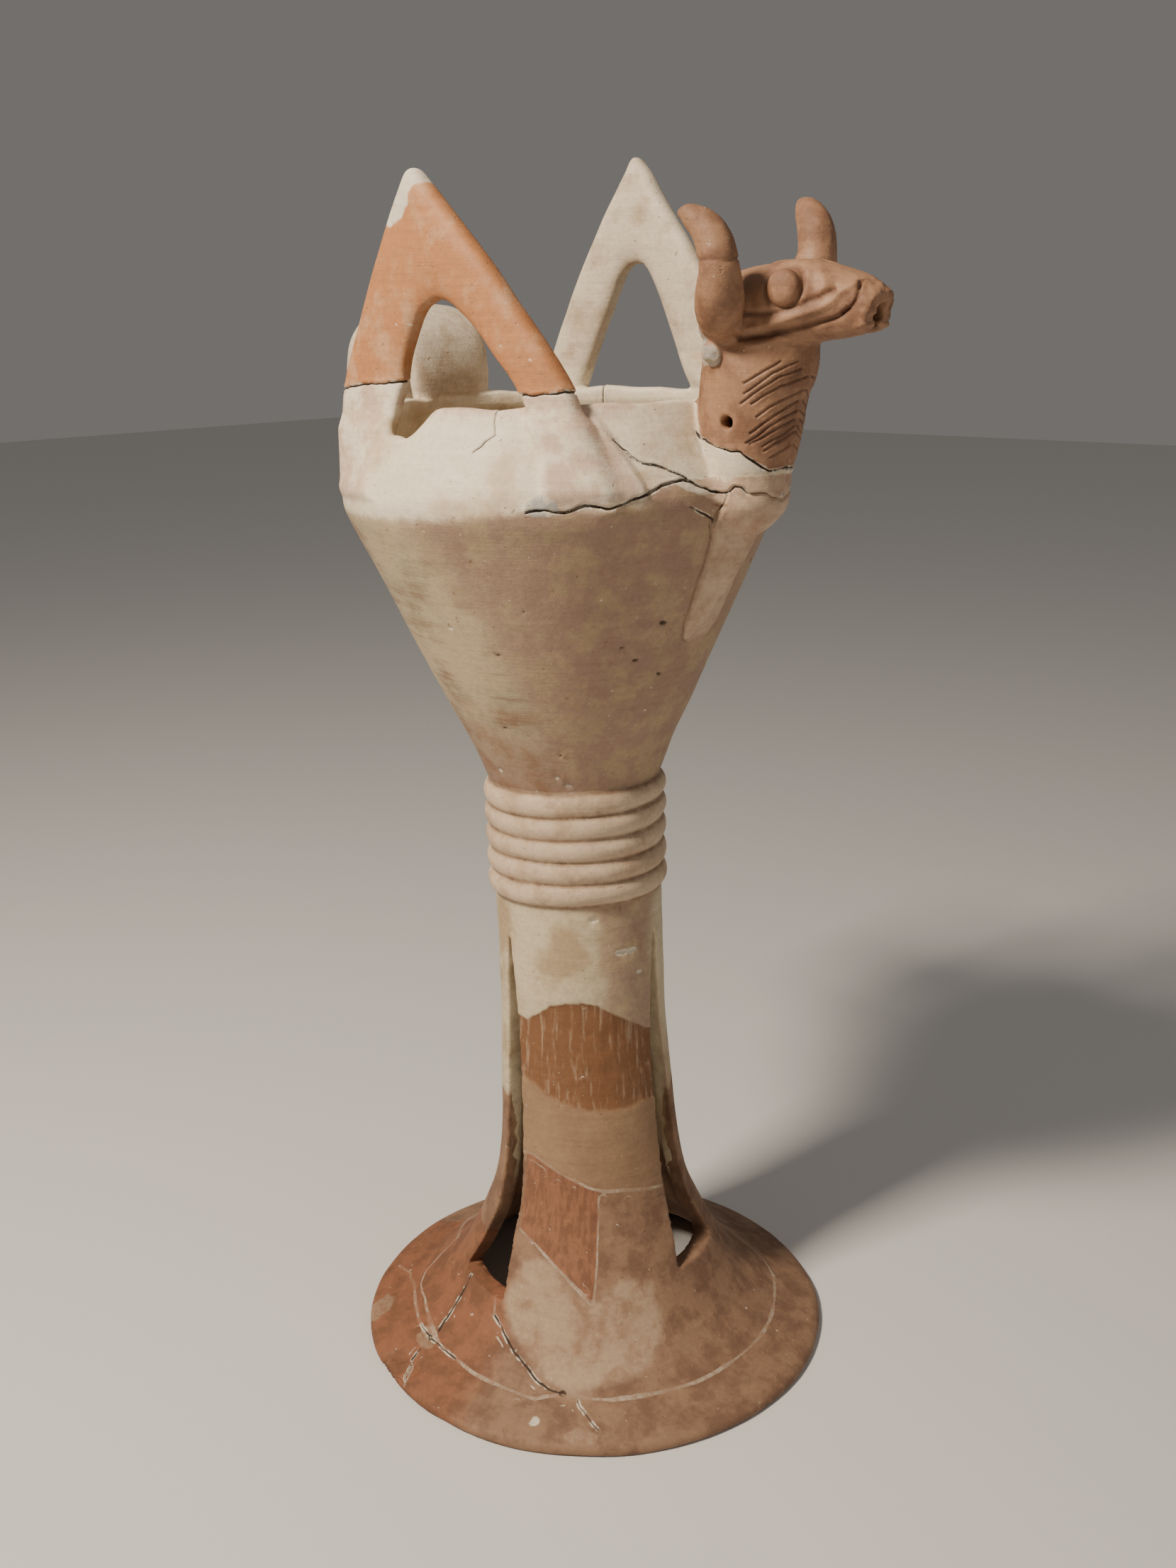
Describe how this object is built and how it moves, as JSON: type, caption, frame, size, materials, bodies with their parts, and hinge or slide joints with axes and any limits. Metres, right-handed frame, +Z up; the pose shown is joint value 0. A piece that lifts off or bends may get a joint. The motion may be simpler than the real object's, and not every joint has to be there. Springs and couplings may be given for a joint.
{
  "type": "footed fruit bowl",
  "caption": "Tall footed fired-clay bowl with ring ribs, narrow foot windows, a bull's head on the shoulder, pointed handles and a strap handle.",
  "frame": {"origin": "bottom centre of the object's bounding box, on the plane it stands on", "axes": "+Z up, +X the way the bull looks, the pointed handles towards -Y and +Y and the strap handle towards -X"},
  "size_m": [0.3148, 0.25, 0.6109],
  "materials": {
    "fired_clay": "matt unglazed fired clay with a pale slip, mended sherds and grey plaster fills"
  },
  "bodies": {
    "root": {"fruit_stand": "fired_clay"}
  },
  "joints": []
}
